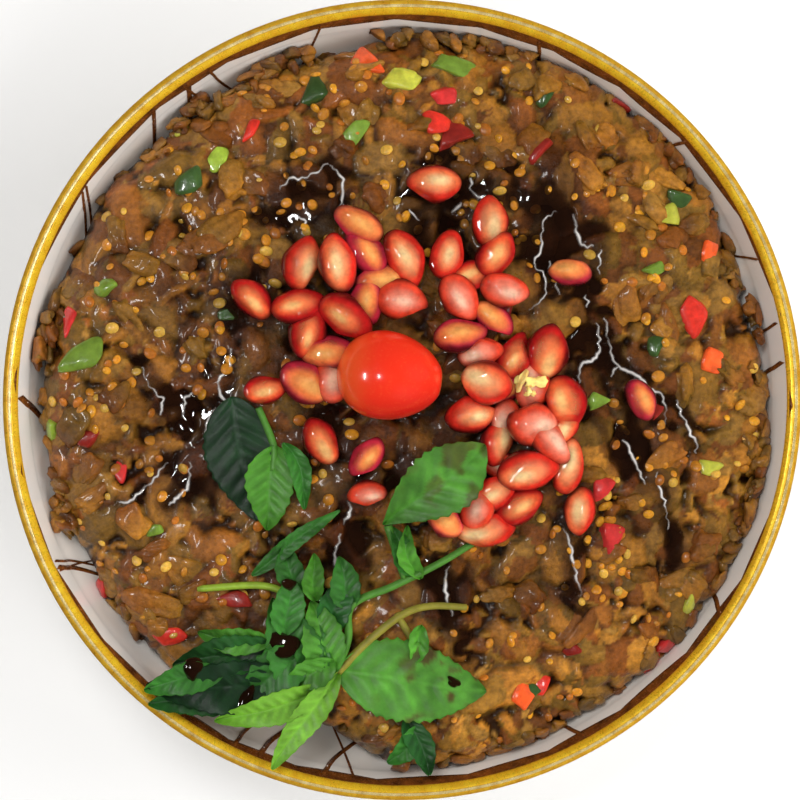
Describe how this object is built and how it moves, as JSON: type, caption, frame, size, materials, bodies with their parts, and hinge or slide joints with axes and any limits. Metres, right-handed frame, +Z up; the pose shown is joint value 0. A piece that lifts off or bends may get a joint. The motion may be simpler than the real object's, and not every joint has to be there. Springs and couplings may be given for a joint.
{
  "type": "baba ganoush in a dish",
  "caption": "Shallow round coupe dish filled with chunky aubergine mash, topped with pomegranate arils, a cherry tomato and a mint sprig.",
  "frame": {"origin": "centre of the underside of the foot ring, on the surface the dish stands on", "axes": "+Z up; +X to the right and +Y to the back as the dish is served, with the mint at the front left"},
  "size_m": [0.19, 0.19, 0.0528],
  "materials": {
    "glaze": "white glaze with a gold lustre lip, inner band and fine lines",
    "mash": "wet, chunky cooked aubergine with oil and pomegranate molasses",
    "aril": "glossy, translucent red over a pale seed",
    "tomato": "glossy skin",
    "mint": "fresh leaf, satin"
  },
  "bodies": {
    "root": {"dish": "glaze", "mash": "mash", "tomato": "tomato", "mint_sprig": "mint", "mint_leaves_left": "mint", "aril_top": "aril", "aril_left": "aril", "aril_far_left": "aril", "aril_lower_left": "aril", "aril_lower": "aril", "aril_by_leaf": "aril", "aril_low_right": "aril", "aril_right": "aril", "aril_in_sauce": "aril", "aril_heap_left": "aril", "aril_heap_right": "aril"}
  },
  "joints": []
}
